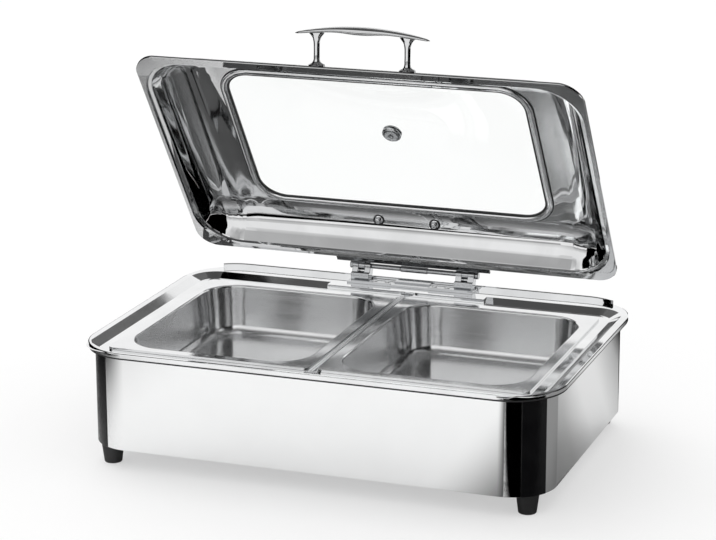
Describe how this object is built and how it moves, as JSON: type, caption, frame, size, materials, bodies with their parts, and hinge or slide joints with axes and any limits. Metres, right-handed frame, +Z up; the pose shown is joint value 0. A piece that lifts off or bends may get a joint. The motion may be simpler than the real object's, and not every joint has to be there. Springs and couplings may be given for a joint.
{
  "type": "electric chafing dish",
  "caption": "countertop electric food warmer: polished rectangular body on feet, water pan with lift-out food pans, and a damped hinged lid with a bowed glass window, steam vent and bar handle",
  "frame": {"origin": "on the table, under the centre of the rim", "axes": "+Z up, +X to the right of a person at the front, -Y towards that person; the lid stands open at rest"},
  "size_m": [0.602, 0.421, 0.5245],
  "materials": {
    "polished_steel": "mirror-polished stainless sheet",
    "satin_steel": "satin pressed stainless sheet",
    "hinge_steel": "machined stainless, fine finish",
    "fastener_steel": "plain stainless fasteners",
    "plain_sheet": "plain mill-finish sheet",
    "handle_chrome": "polished cast handle",
    "vent_metal": "polished turned vent",
    "black_trim": "gloss black",
    "black_plastic": "fine matte moulded",
    "black_rubber": "matte moulded",
    "gasket_rubber": "matte silicone",
    "red_rocker": "translucent-look gloss",
    "heater_tube": "dark oxidised metal sheath",
    "window_glass": "clear tempered"
  },
  "bodies": {
    "base": {"water_pan": "polished_steel", "front_panel": "polished_steel", "rear_panel": "polished_steel", "left_panel": "polished_steel", "right_panel": "polished_steel", "post_front_left": "black_trim", "post_front_right": "black_trim", "post_rear_left": "black_trim", "post_rear_right": "black_trim", "base_plate": "plain_sheet", "feet": "black_rubber", "foot_screws": "fastener_steel", "divider_bar": "satin_steel", "heater": "heater_tube", "heater_clips": "plain_sheet", "thermostat": "black_plastic", "switch_housing": "black_plastic", "power_inlet": "black_plastic", "inlet_screws": "fastener_steel", "hinge_base": "hinge_steel", "hinge_base_screws": "fastener_steel", "left_fork": "hinge_steel", "right_fork": "hinge_steel", "hinge_pin": "hinge_steel", "pin_caps": "hinge_steel", "damper_tube": "hinge_steel"},
    "lid": {"lid_leaf": "hinge_steel", "leaf_bolts": "fastener_steel", "leaf_nuts": "fastener_steel", "lid_shell": "polished_steel", "window_gasket": "gasket_rubber", "window_bezel": "polished_steel", "window_glass": "window_glass", "window_trim": "polished_steel", "vent_body": "vent_metal", "vent_collar": "vent_metal", "handle_bar": "handle_chrome", "left_handle_post": "handle_chrome", "right_handle_post": "handle_chrome", "handle_screws": "fastener_steel"},
    "left_pan": {"left_food_pan": "satin_steel"},
    "right_pan": {"right_food_pan": "satin_steel"},
    "thermostat_knob": {"knob": "black_plastic", "knob_spindle": "fastener_steel"},
    "power_switch": {"switch_rocker": "red_rocker"}
  },
  "joints": [
    {"name": "lid_hinge", "type": "hinge", "parent": "base", "child": "lid", "pos_m": [0, 0.2, 0.1703], "axis": [-1, 0, 0], "range_deg": [-54.8, 35.2]},
    {"name": "left_pan_lift", "type": "slide", "parent": "base", "child": "left_pan", "axis": [0, 0, 1], "range_m": [0, 0.07]},
    {"name": "right_pan_lift", "type": "slide", "parent": "base", "child": "right_pan", "axis": [0, 0, 1], "range_m": [0, 0.07]},
    {"name": "knob_turn", "type": "hinge", "parent": "base", "child": "thermostat_knob", "pos_m": [0.165, 0.2, 0.088], "axis": [0, 1, 0], "range_deg": [0, 270]},
    {"name": "switch_rock", "type": "hinge", "parent": "base", "child": "power_switch", "pos_m": [0.105, 0.195, 0.088], "axis": [-1, 0, 0], "range_deg": [0, 16]}
  ]
}
